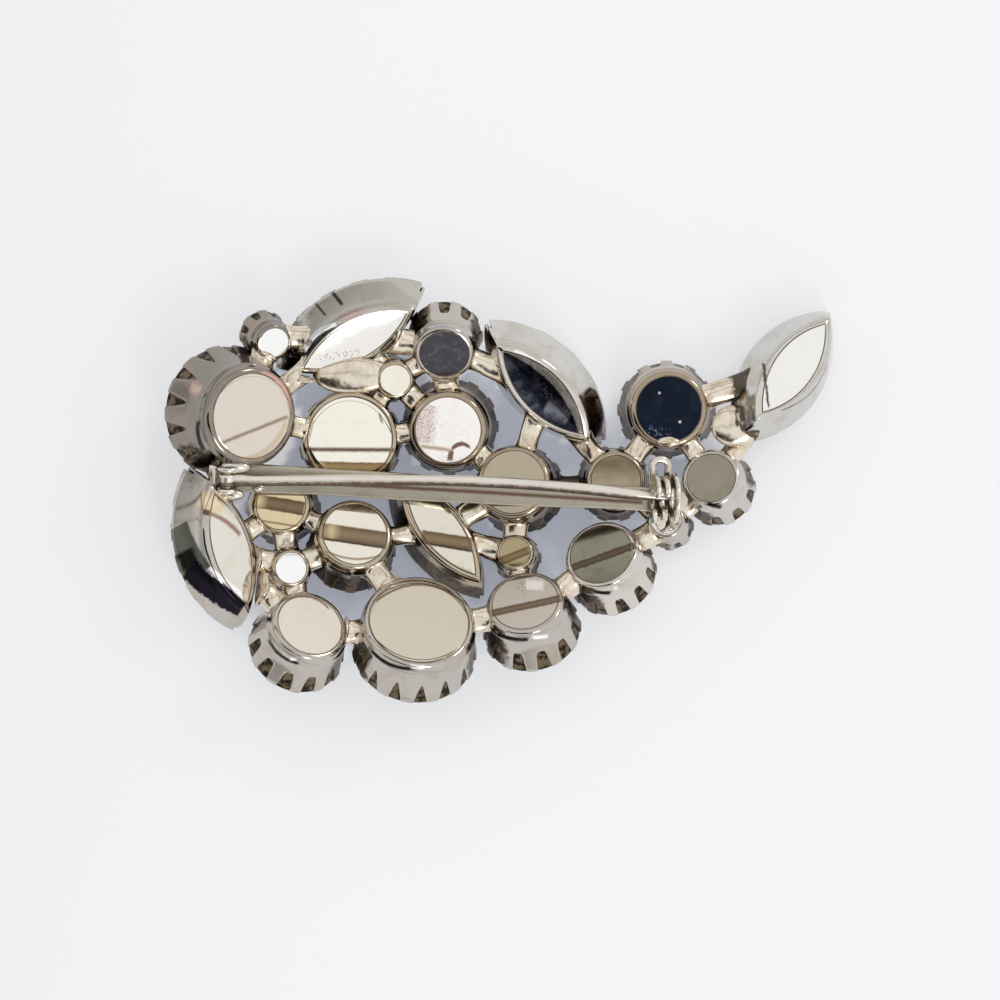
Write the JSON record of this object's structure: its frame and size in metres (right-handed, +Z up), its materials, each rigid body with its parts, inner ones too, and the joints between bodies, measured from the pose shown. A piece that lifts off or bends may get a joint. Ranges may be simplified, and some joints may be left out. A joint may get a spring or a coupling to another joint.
{
  "type": "rhinestone brooch",
  "caption": "Cluster brooch of round and pointed-oval crystals in pronged cups, with a flat bar, hinged pin stem and turning safety catch on the back.",
  "frame": {"origin": "middle of the bounding box at floor level, the brooch lying on its stones with the pin on top", "axes": "+X towards the single pointed tail cup, along the pin from hinge to catch; +Y towards the upper edge as pictured; +Z up, out of the back"},
  "size_m": [0.063, 0.0406, 0.0119],
  "materials": {
    "plated_metal": "bright silver-tone plating, warm where solder shows",
    "pin_steel": "bright drawn wire",
    "crystal": "polished smoky cut glass"
  },
  "bodies": {
    "frame": {"metal_frame": "plated_metal", "hinge_rivet": "plated_metal", "round_stone_1": "crystal", "round_stone_2": "crystal", "round_stone_3": "crystal", "round_stone_4": "crystal", "round_stone_5": "crystal", "round_stone_6": "crystal", "round_stone_7": "crystal", "round_stone_8": "crystal", "round_stone_9": "crystal", "round_stone_10": "crystal", "round_stone_11": "crystal", "round_stone_12": "crystal", "round_stone_13": "crystal", "round_stone_14": "crystal", "round_stone_15": "crystal", "round_stone_16": "crystal", "round_stone_17": "crystal", "round_stone_18": "crystal", "round_stone_19": "crystal", "navette_stone_1": "crystal", "navette_stone_2": "crystal", "navette_stone_3": "crystal", "navette_stone_4": "crystal", "navette_stone_5": "crystal"},
    "pin": {"pin_stem": "pin_steel"},
    "catch": {"catch_roller": "plated_metal"}
  },
  "joints": [
    {"name": "pin_hinge", "type": "hinge", "parent": "frame", "child": "pin", "pos_m": [-0.02548, 0.00057, 0.00808], "axis": [-0.0406, -0.9694, -0.2419], "range_deg": [0, 95]},
    {"name": "catch_turn", "type": "hinge", "parent": "frame", "child": "catch", "pos_m": [0.01528, -0.00114, 0.00808], "axis": [-0.9857, -0.0007, 0.1685], "range_deg": [0, 70]}
  ]
}
